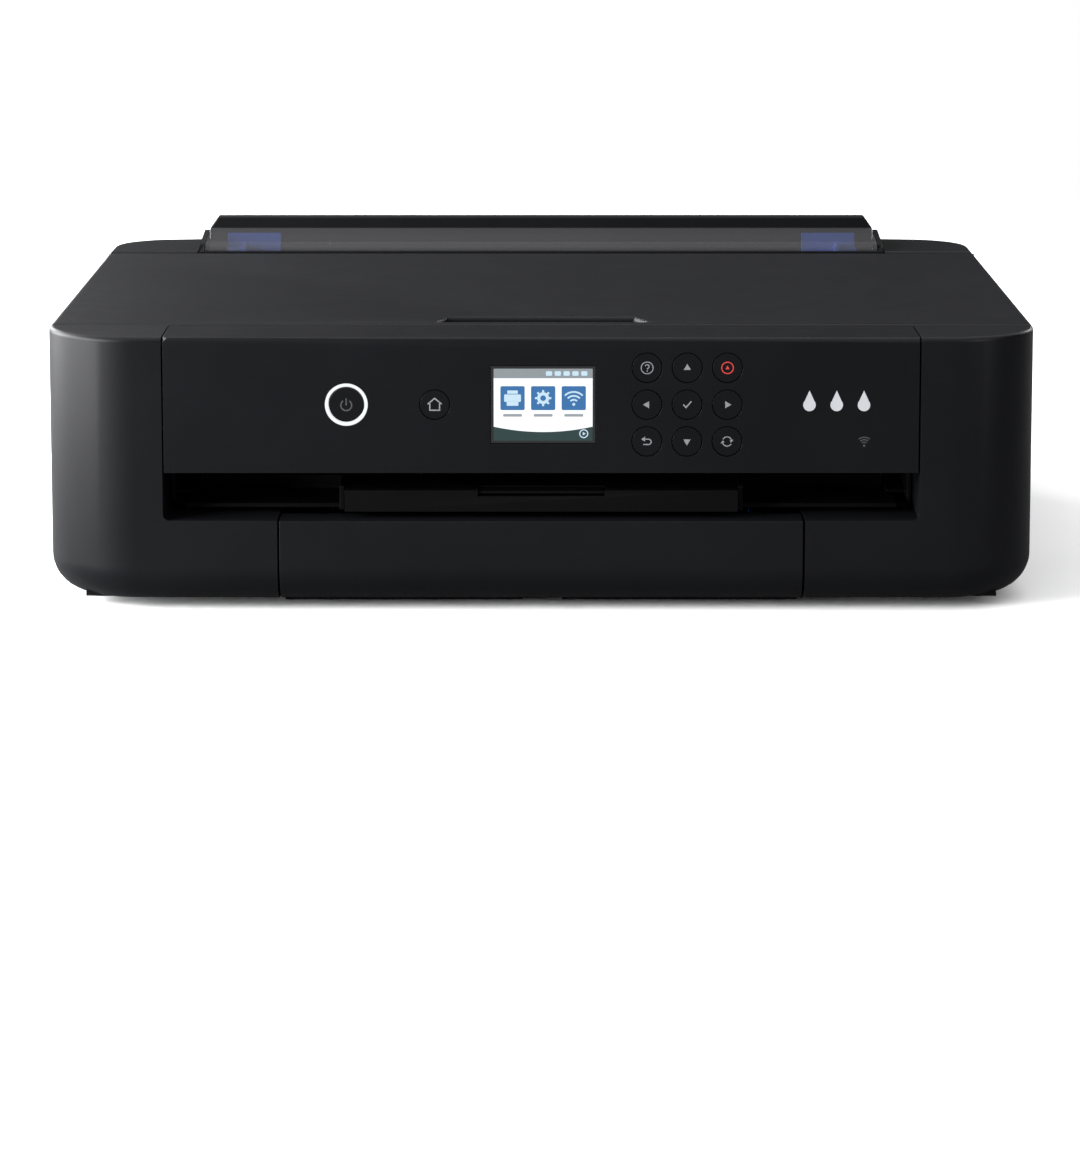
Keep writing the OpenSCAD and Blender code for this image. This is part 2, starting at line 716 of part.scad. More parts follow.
module screen_module() color("#cfe0ee") {
    block([screen_x - screen_w / 2, screen_x + screen_w / 2], [front + 0.2, front + 4],
        [controls_z - screen_h / 2, controls_z + screen_h / 2]);
    block([screen_x - screen_w / 2 - 4, screen_x + screen_w / 2 + 4], [front + 4, board_y],
        [controls_z - screen_h / 2 - 3, controls_z + screen_h / 2 + 3]);
}

module panel_board() color("#1f5a38") {
    block([post_x[0] - 6, post_x[3] + 6], [board_y, board_y + board_t], [controls_z - 27, controls_z + 27]);
    for (x = [power_x, home_x])
        block([x - 3, x + 3], [board_y - 1.2, board_y], [controls_z - 3, controls_z + 3]);
    for (column = [-1:1], row = [-1:1])
        translate([keys_x + column * key_pitch_x, 0, controls_z + row * key_pitch_z])
            block([-3, 3], [board_y - 1.2, board_y], [-3, 3]);
}

module power_ring() color("#f4f6f8") translate([power_x, front + 5, controls_z]) rotate([90, 0, 0]) difference() {
    cylinder(h = 4.9, r = ring_out);
    translate([0, 0, -over]) cylinder(h = 7, r = ring_in);
}

// A key: a cap in its hole, a collar behind the panel and a stem on the switch
module key(x, z) {
    rod_y(x, [keys_face, front + wall + key_travel + 1.4], z, key_d / 2);
    rod_y(x, [front + wall + key_travel + 0.5, front + wall + key_travel + 1.4], z, key_d / 2 + key_collar);
    rod_y(x, [front + wall + 1, stem_y], z, 2);
}

module grid_key(column, row) {
    key(keys_x + column * key_pitch_x, controls_z + row * key_pitch_z);
}

module power_key() color("#1a1b1d") {
    rod_y(power_x, [keys_face, front + 6], controls_z, power_d / 2);
    rod_y(power_x, [front + 6, stem_y], controls_z, 2);
}

module home_key() color("#202224") key(home_x, controls_z);

module help_key() color("#202224") grid_key(-1, 1);

module up_key() color("#202224") grid_key(0, 1);

module stop_key() color("#5a2020") grid_key(1, 1);

module left_key() color("#202224") grid_key(-1, 0);

module ok_key() color("#202224") grid_key(0, 0);

module right_key() color("#202224") grid_key(1, 0);

module back_key() color("#202224") grid_key(-1, -1);

module down_key() color("#202224") grid_key(0, -1);

module repeat_key() color("#202224") grid_key(1, -1);

module printer_cover() color("#232527") {
    recess_y = [cover_y + grip_setback, cover_y + grip_setback + grip_d];
    recess_x = grip_w / 2;
    difference() {
        intersection() {
            translate([0, 0, case_top - wall]) linear_extrude(wall) plan(0);
            block([-half_w, half_w], [cover_y, cover_axis_y], [case_top - wall, case_top]);
        }
        grip_outline(recess_x, recess_y, [case_top - wall - over, case_top + over]);
    }
    // Finger recess
    difference() {
        grip_outline(recess_x + 1.5, [recess_y[0] - 1.5, recess_y[1] + 1.5], [case_top - grip_h, case_top - wall]);
        grip_outline(recess_x, recess_y, [case_top - grip_h + 1.5, case_top]);
    }
    // Rear lip, round about the hinge
    along_x([-half_w, half_w]) difference() {
        intersection() {
            translate([cover_axis_y, cover_axis_z]) circle(cover_lip_r);
            translate([cover_axis_y, cover_axis_z]) square(cover_lip_r);
        }
        translate([cover_axis_y, cover_axis_z]) circle(cover_lip_r - wall);
    }
    both_sides() {
        intersection() {
            block([half_w - wall, half_w], [cover_y, cover_axis_y], [skirt_z, case_top - wall]);
            translate([0, 0, skirt_z]) linear_extrude(skirt_h) plan(0);
        }
        along_x([feeder_x + 0.6, feeder_x + 3.1]) union() {
            translate([cover_axis_y, cover_axis_z]) circle(4.5);
            translate([cover_axis_y - 12, cover_axis_z]) square([12, cover_lip_r - wall]);
        }
        rod_x([cheek_x - 0.2, feeder_x + 0.6], cover_axis_y, cover_axis_z, cover_pin_r);
        rod_x([half_w - wall, half_w], cover_axis_y, cover_axis_z, cover_lip_r);
        block([150, 152], [cover_y + 30, cover_axis_y - 6], [case_top - wall - 2, case_top - wall]);
        block([50, 52], [cover_y + 30, cover_axis_y - 6], [case_top - wall - 2, case_top - wall]);
    }
}

// A slot with tapered ends
module grip_outline(x, y, z) {
    taper = 8;
    translate([0, 0, z[0]]) linear_extrude(z[1] - z[0])
        polygon([[-x, y[0]], [x, y[0]], [x - taper, y[1]], [taper - x, y[1]]]);
}

module output_tray() color("#131416") {
    difference() {
        block([-tray_w / 2, tray_w / 2], [tray_y, tray_y + tray_l], [tray_bottom, tray_top]);
        block([-extension_x, extension_x], [tray_y - over, extension_y + extension_l + 2],
            [tray_bottom - over, tray_top + over]);
    }
    both_sides() {
        block([extension_x + slide_gap, extension_x + slide_gap + rail_w], [tray_y - 6, tray_y + 92],
            [tray_bottom, extension_top + 1]);
        block([extension_x + slide_gap + rail_w, tray_w / 2 - 4], [tray_y + 38, tray_y + 40],
            [tray_top, extension_top - 2]);
    }
}

module tray_extension() color("#17181a") difference() {
    block([-extension_x, extension_x], [extension_y, extension_y + extension_l], [extension_z, extension_top]);
    block([rail_w - extension_x, extension_x - rail_w], [extension_y + 2.5, extension_y + extension_l + over],
        [extension_z - over, extension_top - 3]);
    block([-stop_w / 2 - slide_gap, stop_w / 2 + slide_gap], [extension_y - over, extension_y + stop_l + 3.5],
        [extension_top - 2.9, extension_top + over]);
    rod_x([-stop_w / 2 - 3, stop_w / 2 + 3], stop_axis_y, stop_axis_z, 0.8 + shaft_fit);
}

module tray_stop() color("#1c1d20") {
    block([-stop_w / 2, stop_w / 2], [stop_axis_y, stop_axis_y + stop_l], [stop_axis_z - 0.9, stop_axis_z + 0.9]);
    rod_x([-stop_w / 2, stop_w / 2], stop_axis_y, stop_axis_z, 0.9);
    both_sides() rod_x([stop_w / 2, stop_w / 2 + 2.6], stop_axis_y, stop_axis_z, 0.8);
}

module cassette_pan() color("#1b1c1e") {
    difference() {
        block([-pan_x, pan_x], [fascia_y, rear_pan_y], [pan_z, pan_top]);
        block([pan_t - pan_x, pan_x - pan_t], [fascia_y + pan_t, rear_pan_y - pan_t], [pan_z + pan_t, pan_top + over]);
        block([-9, 10], [fascia_y - over, fascia_y + 25], [pan_z - over, pan_z + 0.9]);
        // Cut-outs for the pick-up arm in the rear wall
        block([-30, 30], [rear_pan_y - pan_t - over, rear_pan_y + over], [28, pan_top + over]);
    }
    both_sides() block([pan_x, bay_x - bay_gap], [fascia_y + 4, rear_pan_y], [28.5, 30]);
}

module cassette_front() color("#1d1f21") {
    difference() {
        intersection() {
            case_form(0);
            block([-fascia_x, fascia_x], [front, fascia_y], [0, opening_z - 0.3]);
        }
        intersection() {
            case_form(wall);
            block([wall - fascia_x, fascia_x - wall], [front, fascia_y + over], [0, opening_z - 0.3 - wall]);
        }
    }
}

// A side guide on the cassette's floor, with its foot towards the middle
module cassette_guide() color("#3d63c8") {
    x = cassette_sheet_w / 2 + 0.5;
    z = pan_z + pan_t + 0.4;
    block([x, x + 2], [-60, 0], [z, z + guide_h]);
    block([x - 45, x], [-50, -10], [z, z + 1.5]);
    block([x + 2, x + 12], [-35, -31], [z, z + 22]);
}

module cassette_right_guide() {
    cassette_guide();
}

module cassette_left_guide() {
    mirror([1, 0, 0]) cassette_guide();
}

module feeder_guard() color("#34363a") {
    along_x([-guard_x, guard_x]) {
        difference() {
            intersection() {
                translate([guard_axis_y, case_top]) circle(guard_lip_r);
                translate([guard_axis_y - guard_lip_r, case_top]) square(guard_lip_r);
            }
            translate([guard_axis_y, case_top]) circle(guard_lip_r - guard_t);
        }
        polygon([[guard_axis_y, case_top + guard_lip_r - guard_t], [guard_axis_y, case_top + guard_lip_r],
            [handle_y - seam, case_top + guard_lip_r + guard_rise],
            [handle_y - seam, case_top + guard_lip_r + guard_rise - guard_t]]);
    }
    both_sides() {
        rod_x([guard_x - 2, guard_x], guard_axis_y, case_top, guard_lip_r - guard_t + 0.5);
        rod_x([guard_x, feeder_x - 0.3], guard_axis_y, case_top, shaft_r);
    }
}

module support_lower() color("#1b1c1f") leaning() {
    rail_x = upper_x + slide_gap;
    block([-support_x, support_x], [0.9, 2.9], [-support_l - 6, -6]);
    both_sides() {
        block([rail_x, rail_x + 3], [-2.2, 0.9], [-support_l - 6, -6]);
        block([rail_x - 4, rail_x + 3], [-3.2, -2.2], [-support_l - 6, -46]);
    }
}

module support_upper() color("#191a1c") {
    leaning() {
        block([-upper_x, upper_x], [-1.6, 0.4], [-support_l, 1.5]);
    }
    along_y([handle_y, handle_y + handle_d]) polygon([[-cheek_x, case_top + 0.6], [cheek_x, case_top + 0.6],
        [cheek_x, handle_top - handle_cut * 1.4], [cheek_x - handle_cut, handle_top],
        [handle_cut - cheek_x, handle_top], [-cheek_x, handle_top - handle_cut * 1.4]]);
}

// Rack and its tab before the plate, neck through the slot, and the upright that meets the sheet.
// The tab and neck keep to their own rack's side of the pinion, so the other rack passes them.
module edge_guide(rack_side) color("#3c5fd0") leaning() {
    x = sheet_w / 2 + 0.5;
    translate([0, 0, guide_u]) scale([1, 1, rack_side]) {
        block([x - 18, x + 11], [rack_v, rack_v + rack_t], [-4, 11.5]);
        block([x - 12, x + 9], [backing_v - 0.5, rack_v], [-4, 9.5]);
    }
    block([x, x + 2], [backing_v - 20, backing_v - 0.5], [hopper_u + 4.5, -3]);
    block([x - 18, x + 12], [backing_v - 1.7, backing_v - 0.5], [guide_tab_u[0] - 4, guide_top_u]);
    block([x + 2, x + 12], [backing_v - 16, backing_v - 1.7], [-30, -6]);
    translate([0, rack_v + rack_t, guide_u]) rotate([90, 0, 0]) linear_extrude(rack_t)
        scale([1, rack_side]) rack(x - 17);
}

// Rack with its pitch line at the pinion's radius, from past the pinion out to a guide
module rack(x_end) {
    pitch = PI * rack_module;
    slope = tan(20);
    half = pitch / 4 - backlash / 2;
    root = guide_pinion_r + 1.25 * rack_module;
    tip = guide_pinion_r - 0.6 * rack_module;
    count = floor(x_end / pitch);
    for (k = [-4:count - 1]) {
        c = (k + 0.5) * pitch;
        polygon([[c - half - slope * 1.25, root + 0.1], [c - half + slope * 0.6, tip], [c + half - slope * 0.6, tip],
            [c + half + slope * 1.25, root + 0.1]]);
    }
    translate([-4 * pitch, root]) square([x_end + 4 * pitch, 3.6]);
}

// Angle at a gear's middle that an involute turns through between its base circle and a radius
function involute_turn(base_r, r) = let (t = sqrt(max(0, r * r / base_r / base_r - 1))) t * 180 / PI - atan(t);

module gear_outline(teeth, size, phase) {
    pitch_r = teeth * size / 2;
    base_r = pitch_r * cos(20);
    half_angle = (90 - backlash / size * 90 / PI) / teeth + involute_turn(base_r, pitch_r);
    radii = [pitch_r - 1.25 * size, max(base_r, pitch_r - 0.9 * size), pitch_r, pitch_r + 0.5 * size,
        pitch_r + size];
    polygon([for (k = [0:teeth - 1], side = [-1, 1], n = [0:4])
        let (r = radii[side < 0 ? n : 4 - n],
            a = phase + k * 360 / teeth + side * (half_angle - involute_turn(base_r, r)))
        [r * cos(a), r * sin(a)]]);
}

module edge_guide_right() {
    edge_guide(1);
}

module edge_guide_left() {
    mirror([1, 0, 0]) edge_guide(-1);
}

module guide_pinion() color("#e8e8e4") leaning()
    translate([0, rack_v + rack_t, guide_u]) rotate([90, 0, 0]) linear_extrude(rack_t - 0.2) difference() {
        gear_outline(12, rack_module, 0);
        circle(pinion_pin_r + shaft_fit);
    }

module hopper_plate() color("#232427") leaning() {
    block([-hopper_x, hopper_x], [backing_v, backing_v + 1.8], [hopper_u - hopper_l, hopper_u]);
    both_sides() rod_x([hopper_x - 4, hopper_x + 3.6], backing_v + 1, hopper_u, shaft_r);
    rod_x([-hopper_x, hopper_x], backing_v + 1, hopper_u, shaft_r);
}

module rear_pickup_roller() color("#3a3a3c") {
    rod_x([-feeder_x + 0.2, feeder_x - 0.2], pickup_y, pickup_z, pickup_shaft_r);
    for (x = [-46, 24])
        rod_x([x, x + 22], pickup_y, pickup_z, pickup_r);
}

module carriage() color("#26282b") {
    difference() {
        block(carriage_x, carriage_y, [carriage_z, carriage_top]);
        block([carriage_x[0] + 2, carriage_x[1] - 2], [carriage_y[0] + 2, carriage_y[1] - 2],
            [carriage_z + 4.8, carriage_top + over]);
        block([head_x - 20.5, head_x + 20.5], [-30.5, 10.5], [carriage_z - over, carriage_z + 5]);
    }
    // Bearing on the guide rod
    difference() {
        block(carriage_x, [carriage_y[1], rod_y0 + 8], [rod_z0 - 6, rod_z0 + 6]);
        rod_x([carriage_x[0] - over, carriage_x[1] + over], rod_y0, rod_z0, rod_r + shaft_fit);
    }
    // Clamp on the belt's lower run
    block([head_x - 10, head_x + 10], [carriage_y[1], pulley_y + belt_w], [rod_z0 + 6,
        pulley_z - belt_in - belt_t - 0.4]);
    block([head_x - 10, head_x + 10], [carriage_y[1], pulley_y + belt_w],
        [pulley_z - belt_in + 0.4, pulley_z - belt_in + 3]);
}

module ink_cartridges() color("#2e3034") {
    pitch = (carriage_w - 5) / cartridges;
    for (k = [0:cartridges - 1]) {
        x = carriage_x[0] + 2.5 + k * pitch;
        block([x + 0.3, x + pitch - 0.3], [carriage_y[0] + 3, carriage_y[1] - 3], [carriage_z + 5, carriage_top - 4]);
        block([x + 2, x + pitch - 2], [carriage_y[0] + 4, carriage_y[0] + 16], [carriage_top - 4, carriage_top - 1]);
    }
}

module print_head() color("#6d7075") block([head_x - 20, head_x + 20], [-30, 10], [carriage_z - 1.8, carriage_z + 4.8]);

module pulley(x) {
    rod_y(x, [pulley_y - 0.2, pulley_y + belt_w + 0.2], pulley_z, pulley_r);
    rod_y(x, [pulley_y - 1.2, pulley_y - 0.4], pulley_z, pulley_r + 2.4);
    rod_y(x, [pulley_y + belt_w + 0.4, pulley_y + belt_w + 1.2], pulley_z, pulley_r + 2.4);
    rod_y(x, [pulley_y - 3, wall_y + 1.4], pulley_z, shaft_r);
}

module motor_pulley() color("#c8a24a") {
    pulley(pulley_x[1]);
    rod_y(pulley_x[1], [wall_y, wall_y + 11], pulley_z, shaft_r);
}

module idler_pulley() color("#c8c9cb") pulley(pulley_x[0]);

module feed_roller() color("#a7a9ac") {
    rod_x([-168, 168], feed_y, feed_z, feed_r);
    rod_x([gear_x - gear_w, roller_end + 1.2], feed_y, feed_z, 4);
    along_x([gear_x - gear_w, gear_x]) translate([feed_y, feed_z]) gear_outline(gear_teeth, gear_module, 0);
}

module pinch_rollers() color("#4b4d50") {
    rod_x([-roller_end - 2.8, roller_end + 2.8], pinch_y, pinch_z, shaft_r);
    for (k = [-3:3])
        rod_x([k * 46 - 12, k * 46 + 12], pinch_y, pinch_z, pinch_r);
}

module feed_pinion() color("#c8a24a") {
    rod_x([gear_x - gear_w, left_plate + 8], feed_motor_y, feed_z, shaft_r);
    along_x([gear_x - gear_w, gear_x]) translate([feed_motor_y, feed_z])
        gear_outline(pinion_teeth, gear_module, 180 / pinion_teeth);
}

module exit_roller() color("#3f4144") {
    rod_x([left_plate - plate_t - 0.4, roller_end + 13], exit_y, exit_z, 3);
    for (k = [-3:3])
        rod_x([k * 46 - 8, k * 46 + 8], exit_y, exit_z, exit_r);
}

module star_wheels() color("#b5b7ba") {
    rod_x([-roller_end - 2.8, roller_end + 13], exit_y, star_z, shaft_r);
    for (k = [-3:3])
        rod_x([k * 46 - 0.6, k * 46 + 0.6], exit_y, star_z, star_r);
}

module rear_cover() color("#1a1b1d") {
    difference() {
        block([-rear_cover_x, rear_cover_x], [rear - wall, rear], rear_cover_z);
        for (x = [-90, 90])
            block([x - 12, x + 12], [rear - 1.2, rear + over], [rear_cover_z[1] - 12, rear_cover_z[1] - 3]);
    }
    for (x = [-100, -60, -20, 20, 60, 100])
        along_x([x - 1, x + 1]) polygon([[rear - wall, rear_cover_z[0] + 2], [rear - 9, rear_cover_z[0] + 2],
            [rear - wall, rear_cover_z[0] + 22]]);
}

module maintenance_box() color("#2b2d30") difference() {
    block(waste_x, [waste_y, rear], waste_z);
    block([waste_x[0] + 17, waste_x[1] - 17], [rear - 8, rear + over], [waste_z[0] + 16, waste_z[1] + over]);
}

base_pan();
left_side_cover();
right_side_cover();
rear_panel();
feed_frame();
exit_frame();
feet();
case_screws();
chassis();
guide_rod();
carriage_belt();
drive_motors();
platen();
capping_station();
main_board();
power_supply();
ac_inlet();
control_panel();
screen_module();
panel_board();
power_ring();
power_key();
home_key();
help_key();
up_key();
stop_key();
left_key();
ok_key();
right_key();
back_key();
down_key();
repeat_key();
printer_cover();
output_tray();
tray_extension();
tray_stop();
cassette_pan();
cassette_front();
cassette_left_guide();
cassette_right_guide();
feeder_guard();
support_lower();
support_upper();
edge_guide_left();
edge_guide_right();
guide_pinion();
hopper_plate();
rear_pickup_roller();
carriage();
ink_cartridges();
print_head();
motor_pulley();
idler_pulley();
feed_roller();
pinch_rollers();
feed_pinion();
exit_roller();
star_wheels();
rear_cover();
maintenance_box();
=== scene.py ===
import json
import math

import bmesh
import bpy
import numpy as np
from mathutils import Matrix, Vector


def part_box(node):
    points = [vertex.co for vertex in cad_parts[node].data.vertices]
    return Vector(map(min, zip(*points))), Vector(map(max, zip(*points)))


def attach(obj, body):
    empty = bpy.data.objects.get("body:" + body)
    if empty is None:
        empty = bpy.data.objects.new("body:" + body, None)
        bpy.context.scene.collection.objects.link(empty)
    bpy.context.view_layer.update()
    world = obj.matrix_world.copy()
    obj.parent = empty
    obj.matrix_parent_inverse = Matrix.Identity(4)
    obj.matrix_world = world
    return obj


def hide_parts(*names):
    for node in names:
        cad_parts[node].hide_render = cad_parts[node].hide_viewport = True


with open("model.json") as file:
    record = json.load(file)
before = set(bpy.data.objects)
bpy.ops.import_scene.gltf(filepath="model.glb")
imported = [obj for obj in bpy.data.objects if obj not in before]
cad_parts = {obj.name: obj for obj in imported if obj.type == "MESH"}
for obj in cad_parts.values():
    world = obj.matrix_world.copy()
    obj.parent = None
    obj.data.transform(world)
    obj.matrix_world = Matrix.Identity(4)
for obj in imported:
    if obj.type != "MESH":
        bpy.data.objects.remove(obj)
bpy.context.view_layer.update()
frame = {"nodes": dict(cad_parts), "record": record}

MM = 0.001
PANEL_FACE = -185.03        # front of the marks printed on the panel, in millimetres
KEY_FACE = -184.83          # front of the signs printed on the keys
SCREEN_FACE = -184.84       # the lowest layer of the screen's picture
LAYER = 0.02                # step between two layers of that picture
INK = 0.02                  # thickness of a print
TOP_EDGE = 133.9            # just under the case's flat top
BOARD_TOP = 13.7            # just above the main board's upper face
SOCKET_FRONT = 164          # in front of the sockets at the back edge of the board
CREASE_WIDTH = 2.2          # rounding of the case's long upper edges
SHARP = 34                  # degrees between two faces from which their edge is worn
NODES = frame["nodes"]
RECORD = frame["record"]
BODY_OF = {n: b for b, names in RECORD["behaviour"]["bodies"].items() for n in names}
SLOT_OF = {s["node"]: s["material_slot"] for s in RECORD["subparts"]}
KEYS = ["power_key", "home_key", "help_key", "up_key", "stop_key", "left_key", "ok_key", "right_key", "back_key",
        "down_key", "repeat_key"]


# ---------------------------------------------------------------- camera, light and floor

def set_camera():
    """A long lens low in front of the printer, pitched a little down, with a small shift of the frame."""
    data = bpy.data.cameras.new("view_camera")
    data.lens = 123.0
    data.sensor_width = 36.0
    data.shift_x = -0.001
    data.shift_y = -0.27
    camera = bpy.data.objects.new("view_camera", data)
    bpy.context.scene.collection.objects.link(camera)
    camera.location = (0, -2.040, 0.4196)
    camera.rotation_euler = (math.radians(82.3), 0, 0)
    bpy.context.scene.camera = camera


def softbox(name, place, aim, size, watts):
    """A rectangular lamp at a place, turned to face a point."""
    data = bpy.data.lights.new(name, "AREA")
    data.shape = "RECTANGLE"
    data.size, data.size_y = size
    data.energy = watts
    lamp = bpy.data.objects.new(name, data)
    bpy.context.scene.collection.objects.link(lamp)
    lamp.location = place
    back = np.array(place, float) - np.array(aim, float)
    back /= np.linalg.norm(back)
    yaw = math.atan2(back[0], -back[1])
    lamp.rotation_euler = (math.acos(back[2]), 0, yaw)


def set_light():
    """A plain bright room seen by the eye, dimmer as a light.
    Softboxes stand along the left, behind and at the right, and one hangs above."""
    world = bpy.data.worlds.new("studio")
    bpy.context.scene.world = world
    world.use_nodes = True
    tree = world.node_tree
    tree.nodes.clear()
    out = tree.nodes.new("ShaderNodeOutputWorld")
    seen = tree.nodes.new("ShaderNodeBackground")
    seen.inputs["Color"].default_value = (1.0, 1.0, 1.0, 1)
    seen.inputs["Strength"].default_value = 1.0
    lit = tree.nodes.new("ShaderNodeBackground")
    lit.inputs["Color"].default_value = (0.95, 0.97, 1.0, 1)
    lit.inputs["Strength"].default_value = 0.025
    path = tree.nodes.new("ShaderNodeLightPath")
    mix = tree.nodes.new("ShaderNodeMixShader")
    tree.links.new(path.outputs["Is Camera Ray"], mix.inputs["Fac"])
    tree.links.new(lit.outputs["Background"], mix.inputs[1])
    tree.links.new(seen.outputs["Background"], mix.inputs[2])
    tree.links.new(mix.outputs["Shader"], out.inputs["Surface"])
    softbox("left_softbox", (-1.35, 0.50, 0.50), (-0.22, 0.0, 0.08), (0.8, 0.9), 50)
    softbox("side_softbox", (-1.50, -0.35, 0.50), (-0.22, -0.1, 0.08), (0.8, 0.9), 58)
    softbox("front_left_softbox", (-1.55, -1.15, 0.50), (-0.25, -0.18, 0.1), (0.7, 0.9), 68)
    softbox("front_right_softbox", (1.6, -1.5, 0.7), (0.2, -0.18, 0.1), (0.7, 0.9), 14)
    softbox("back_left_softbox", (-1.15, 1.9, 0.70), (-0.2, 0.0, 0.13), (0.7, 0.7), 24)
    softbox("right_softbox", (1.3, 1.6, 0.6), (0.2, 0.0, 0.13), (0.5, 0.5), 8)
    softbox("ceiling_softbox", (0.0, -0.2, 2.5), (0, -0.2, 0.0), (6.5, 6.5), 200)


def set_floor(material):
    """A level sheet of pale paper, six metres wide, under the feet."""
    mesh = bpy.data.meshes.new("floor_paper")
    mesh.from_pydata([(-3, -3.2, 0), (3, -3.2, 0), (3, 1.5, 0), (-3, 1.5, 0)], [], [(0, 1, 2, 3)])
    floor = bpy.data.objects.new("floor_paper", mesh)
    bpy.context.scene.collection.objects.link(floor)
    mesh.materials.append(material)


# ---------------------------------------------------------------- finishes

def new_material(name, colour, roughness, metallic=0.0, specular=0.5, coat=0.0, coat_rough=0.1):
    """A Principled material with its constant values on its own sockets.
    Returns the material, its node tree, its shader and its object coordinates."""
    material = bpy.data.materials.new(name)
    material.use_nodes = True
    tree = material.node_tree
    shader = tree.nodes["Principled BSDF"]
    shader.inputs["Base Color"].default_value = (*colour, 1)
    shader.inputs["Roughness"].default_value = roughness
    shader.inputs["Metallic"].default_value = metallic
    shader.inputs["Specular IOR Level"].default_value = specular
    shader.inputs["Coat Weight"].default_value = coat
    shader.inputs["Coat Roughness"].default_value = coat_rough
    place = tree.nodes.new("ShaderNodeTexCoord")
    return material, tree, shader, place


def noise(tree, place, scale, detail=2.0, stretch=None):
    """A noise field in the object's own space; stretch makes it streaky along an axis."""
    field = tree.nodes.new("ShaderNodeTexNoise")
    field.inputs["Scale"].default_value = scale
    field.inputs["Detail"].default_value = detail
    if stretch:
        turn = tree.nodes.new("ShaderNodeMapping")
        turn.inputs["Scale"].default_value = stretch
        tree.links.new(place.outputs["Object"], turn.inputs["Vector"])
        tree.links.new(turn.outputs["Vector"], field.inputs["Vector"])
    else:
        tree.links.new(place.outputs["Object"], field.inputs["Vector"])
    return field.outputs["Fac"]


def spread(tree, value, low, high, start=0.3, stop=0.7):
    """A noise value carried from the range start..stop to low..high."""
    move = tree.nodes.new("ShaderNodeMapRange")
    move.inputs["From Min"].default_value = start
    move.inputs["From Max"].default_value = stop
    move.inputs["To Min"].default_value = low
    move.inputs["To Max"].default_value = high
    tree.links.new(value, move.inputs["Value"])
    return move.outputs["Result"]


def tint(tree, shader, value, dark, light, start=0.3, stop=0.7):
    """Base colour that drifts between two tones with a noise value."""
    ramp = tree.nodes.new("ShaderNodeValToRGB")
    ramp.color_ramp.elements[0].position = start
    ramp.color_ramp.elements[1].position = stop
    ramp.color_ramp.elements[0].color = (*dark, 1)
    ramp.color_ramp.elements[1].color = (*light, 1)
    tree.links.new(value, ramp.inputs["Fac"])
    tree.links.new(ramp.outputs["Color"], shader.inputs["Base Color"])


def relief(tree, shader, value, depth):
    """Bump of a given depth in metres from a noise value."""
    bump = tree.nodes.new("ShaderNodeBump")
    bump.inputs["Strength"].default_value = 1.0
    bump.inputs["Distance"].default_value = depth
    tree.links.new(value, bump.inputs["Height"])
    tree.links.new(bump.outputs["Normal"], shader.inputs["Normal"])


def moulded(name, colour, roughness, grain=900, depth=0.00002, drift=0.07, specular=0.5, coat=0.0, coat_rough=0.2):
    """Moulded plastic: a fine spark-eroded grain, a slow drift of tone and handling marks in the gloss."""
    material, tree, shader, place = new_material(name, colour, roughness, 0.0, specular, coat, coat_rough)
    slow = noise(tree, place, 14, 3)
    tint(tree, shader, slow, [c * (1 - drift) for c in colour], [c * (1 + drift) for c in colour])
    rub = noise(tree, place, 60, 5)
    tree.links.new(spread(tree, rub, roughness - 0.015, roughness + 0.02), shader.inputs["Roughness"])
    relief(tree, shader, noise(tree, place, grain, 2), depth)
    return material


def metal(name, colour, roughness, stretch=(1, 1, 1), scale=220, depth=0.000012):
    """Rolled or turned metal: streaks along the working direction in tone, gloss and relief."""
    material, tree, shader, place = new_material(name, colour, roughness, 1.0)
    streak = noise(tree, place, scale, 4, stretch)
    tint(tree, shader, streak, [c * 0.82 for c in colour], [min(1, c * 1.12) for c in colour])
    gloss = spread(tree, noise(tree, place, 35, 4), roughness - 0.06, roughness + 0.1)
    tree.links.new(gloss, shader.inputs["Roughness"])
    relief(tree, shader, streak, depth)
    return material


def smoky(name, painted_haze_colour, top_colour, roughness, cover):
    """Smoke-tinted clear plastic with painted light: a lighter lower part, coloured by height, is a painted glow that
    stands for light coming through from behind. It darkens to its top lip, with a slow drift of tone.
    The cover is the share of light that the tint holds back at each face."""
    material, tree, shader, place = new_material(name, painted_haze_colour, roughness, 0.0, 0.12)
    shader.inputs["Alpha"].default_value = cover
    height = tree.nodes.new("ShaderNodeSeparateXYZ")
    tree.links.new(place.outputs["Object"], height.inputs["Vector"])
    # Painted haze: below 142.5 mm the colour turns lighter as a painted glow of light through the guard; above 144.2 mm
    # it is the dark lip.
    level = spread(tree, height.outputs["Z"], 0.0, 0.9, 0.1425, 0.1442)
    drift = tree.nodes.new("ShaderNodeMath")
    drift.operation = "MULTIPLY_ADD"
    drift.inputs[1].default_value = 0.2
    tree.links.new(noise(tree, place, 9, 2), drift.inputs[0])
    tree.links.new(level, drift.inputs[2])
    tint(tree, shader, drift.outputs["Value"], painted_haze_colour, top_colour, 0.1, 1.0)
    tree.links.new(spread(tree, noise(tree, place, 50, 4), roughness, roughness + 0.03), shader.inputs["Roughness"])
    relief(tree, shader, noise(tree, place, 30, 1), 0.000002)
    return material


def glowing(name, colour, strength, roughness=0.3):
    """A lit print behind a clear window, with a faint cell pattern in its gloss."""
    material, tree, shader, place = new_material(name, colour, roughness)
    shader.inputs["Specular IOR Level"].default_value = 0.2
    shader.inputs["Emission Color"].default_value = (*colour, 1)
    shader.inputs["Emission Strength"].default_value = strength
    cell = noise(tree, place, 1500, 1)
    tint(tree, shader, cell, [c * 0.11 for c in colour], [c * 0.13 for c in colour])
    tree.links.new(spread(tree, noise(tree, place, 80, 3), roughness, roughness + 0.05), shader.inputs["Roughness"])
    return material


